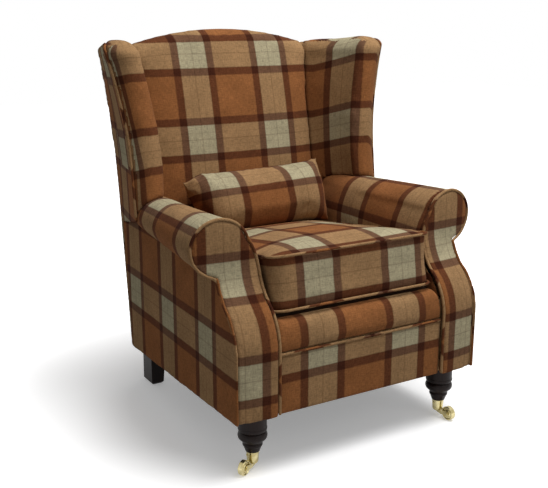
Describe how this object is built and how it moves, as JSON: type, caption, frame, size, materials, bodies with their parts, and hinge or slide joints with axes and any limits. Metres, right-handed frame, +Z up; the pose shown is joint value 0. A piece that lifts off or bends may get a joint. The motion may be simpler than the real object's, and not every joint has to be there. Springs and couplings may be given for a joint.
{
  "type": "wing chair",
  "caption": "Fireside wing chair with scroll arms, a boxed seat cushion and a loose lumbar cushion in a tartan check, turned front legs on brass castors and raked rear legs.",
  "frame": {"origin": "on the floor, under the middle of the chair's bounding box", "axes": "+Z up, the sitter faces -Y, +X to the right seen from the front"},
  "size_m": [0.9162, 0.8205, 1.06],
  "materials": {
    "tartan": "brushed woollen-look check",
    "foam": "foam and fibre filling",
    "beech": "sawn beech",
    "leg_wood": "dark stained, satin lacquer",
    "brass": "polished",
    "spring_steel": "oiled",
    "plated_steel": "zinc plated",
    "lining": "non-woven lining",
    "webbing": "woven webbing",
    "zip_nylon": "moulded"
  },
  "bodies": {
    "chair": {"arm_cover_left": "tartan", "arm_cover_right": "tartan", "arm_facing_left": "tartan", "arm_facing_right": "tartan", "arm_pads": "foam", "arm_rail_left": "beech", "arm_rail_right": "beech", "arm_stump_left": "beech", "arm_stump_right": "beech", "back_rails": "beech", "back_webbing": "webbing", "border_piping": "tartan", "castor_cup_left": "brass", "castor_cup_right": "brass", "corner_blocks": "beech", "cup_screws": "brass", "dust_cover": "lining", "facing_piping": "tartan", "front_border_panel": "tartan", "front_border_roll": "tartan", "front_leg_left": "leg_wood", "front_leg_right": "leg_wood", "front_seat_rail": "beech", "inside_back_cover": "tartan", "inside_back_pad": "foam", "leg_bolts": "plated_steel", "outside_arm_left": "tartan", "outside_arm_right": "tartan", "outside_back": "tartan", "outside_wing_left": "tartan", "outside_wing_right": "tartan", "rear_leg_left": "leg_wood", "rear_leg_right": "leg_wood", "rear_post_left": "beech", "rear_post_right": "beech", "rear_seat_rail": "beech", "seat_platform": "foam", "seat_springs": "spring_steel", "side_seat_rail_left": "beech", "side_seat_rail_right": "beech", "spring_clips": "plated_steel", "spring_cloth": "lining", "wing_cover_left": "tartan", "wing_cover_right": "tartan", "wing_frame_left": "beech", "wing_frame_right": "beech", "wing_pads": "foam", "wing_piping": "tartan"},
    "castor_left": {"castor_horn_left": "brass", "castor_axle_left": "brass"},
    "castor_right": {"castor_horn_right": "brass", "castor_axle_right": "brass"},
    "wheel_left": {"castor_wheel_left": "brass"},
    "wheel_right": {"castor_wheel_right": "brass"},
    "seat_cushion": {"seat_cushion_cover": "tartan", "seat_cushion_foam": "foam", "seat_cushion_piping": "tartan", "seat_cushion_zip": "zip_nylon"},
    "lumbar_cushion": {"lumbar_cover": "tartan", "lumbar_filling": "foam"}
  },
  "joints": [
    {"name": "castor_swivel_left", "type": "hinge", "parent": "chair", "child": "castor_left", "pos_m": [-0.302, -0.349, 0.03], "axis": [0, 0, 1], "continuous": true},
    {"name": "castor_roll_left", "type": "hinge", "parent": "castor_left", "child": "wheel_left", "pos_m": [-0.33807, -0.3685, 0.0195], "axis": [0.4756, -0.8796, 0], "continuous": true},
    {"name": "castor_swivel_right", "type": "hinge", "parent": "chair", "child": "castor_right", "pos_m": [0.302, -0.349, 0.03], "axis": [0, 0, 1], "continuous": true},
    {"name": "castor_roll_right", "type": "hinge", "parent": "castor_right", "child": "wheel_right", "pos_m": [0.30664, -0.38974, 0.0195], "axis": [0.9936, 0.1132, 0], "continuous": true},
    {"name": "seat_cushion_lift", "type": "slide", "parent": "chair", "child": "seat_cushion", "axis": [0, 0, 1], "range_m": [0, 0.8]},
    {"name": "lumbar_cushion_lift", "type": "slide", "parent": "seat_cushion", "child": "lumbar_cushion", "axis": [0, 0, 1], "range_m": [0, 0.62]}
  ]
}
